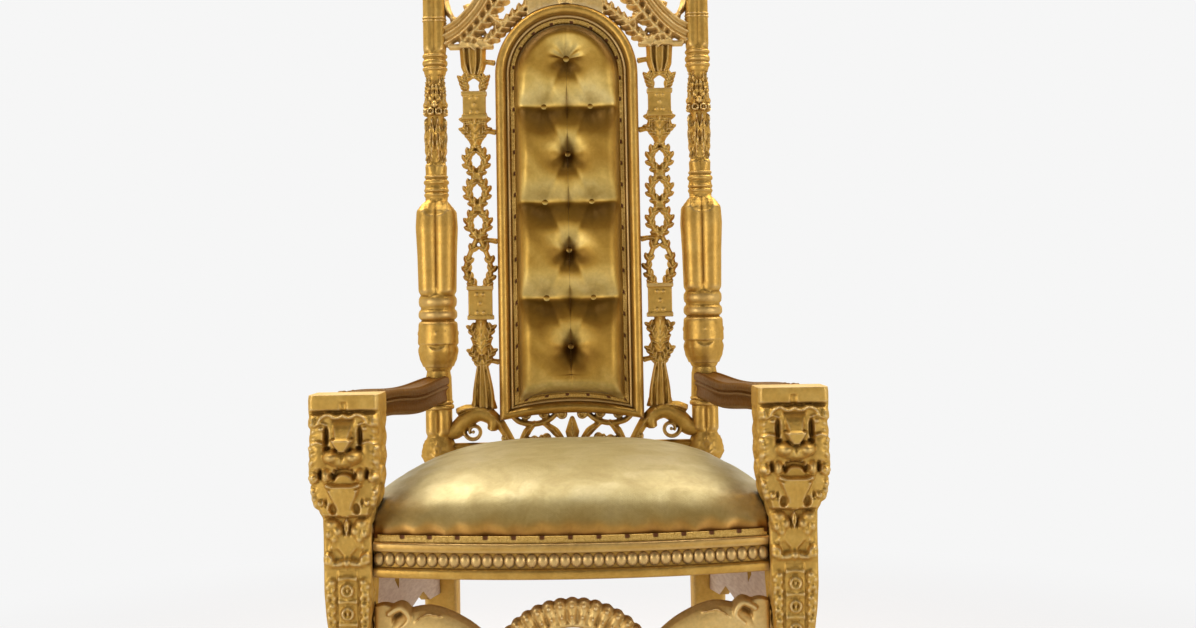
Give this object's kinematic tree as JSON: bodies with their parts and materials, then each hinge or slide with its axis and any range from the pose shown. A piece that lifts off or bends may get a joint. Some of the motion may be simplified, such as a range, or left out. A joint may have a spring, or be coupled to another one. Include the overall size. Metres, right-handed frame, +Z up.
{
  "type": "throne",
  "caption": "Tall gilded armchair throne with lion-head arm fronts, clustered back posts, an arched tufted panel between pierced frets, a pierced crest and a domed seat.",
  "frame": {"origin": "centre of the outer box's underside, on the floor", "axes": "+X to the right as seen from the front, -Y towards the viewer out of the throne's front, +Z up"},
  "size_m": [0.796, 0.7108, 1.799],
  "materials": {
    "gilded_wood": "gold leaf, semi-gloss, darker in the recesses",
    "bare_wood": "matt, unfinished",
    "upholstery": "satin, metallic olive gold",
    "braid": "metallic thread"
  },
  "bodies": {
    "root": {"arm_left": "gilded_wood", "arm_right": "gilded_wood", "back_board": "bare_wood", "back_gimp": "braid", "back_pad": "upholstery", "back_post_left": "gilded_wood", "back_post_right": "gilded_wood", "crest": "gilded_wood", "front_apron": "gilded_wood", "front_leg_lion_left": "gilded_wood", "front_leg_lion_right": "gilded_wood", "front_seat_rail": "gilded_wood", "lower_back_rail": "gilded_wood", "panel_frame": "gilded_wood", "rear_seat_rail": "gilded_wood", "seat_board": "bare_wood", "seat_cushion": "upholstery", "seat_gimp_front": "braid", "seat_gimp_left": "braid", "seat_gimp_right": "braid", "side_apron_left": "gilded_wood", "side_apron_right": "gilded_wood", "side_fret_left": "gilded_wood", "side_fret_right": "gilded_wood", "side_seat_rail_left": "gilded_wood", "side_seat_rail_right": "gilded_wood", "tuft_button_1": "upholstery", "tuft_button_10": "upholstery", "tuft_button_2": "upholstery", "tuft_button_3": "upholstery", "tuft_button_4": "upholstery", "tuft_button_5": "upholstery", "tuft_button_6": "upholstery", "tuft_button_7": "upholstery", "tuft_button_8": "upholstery", "tuft_button_9": "upholstery"}
  },
  "joints": []
}
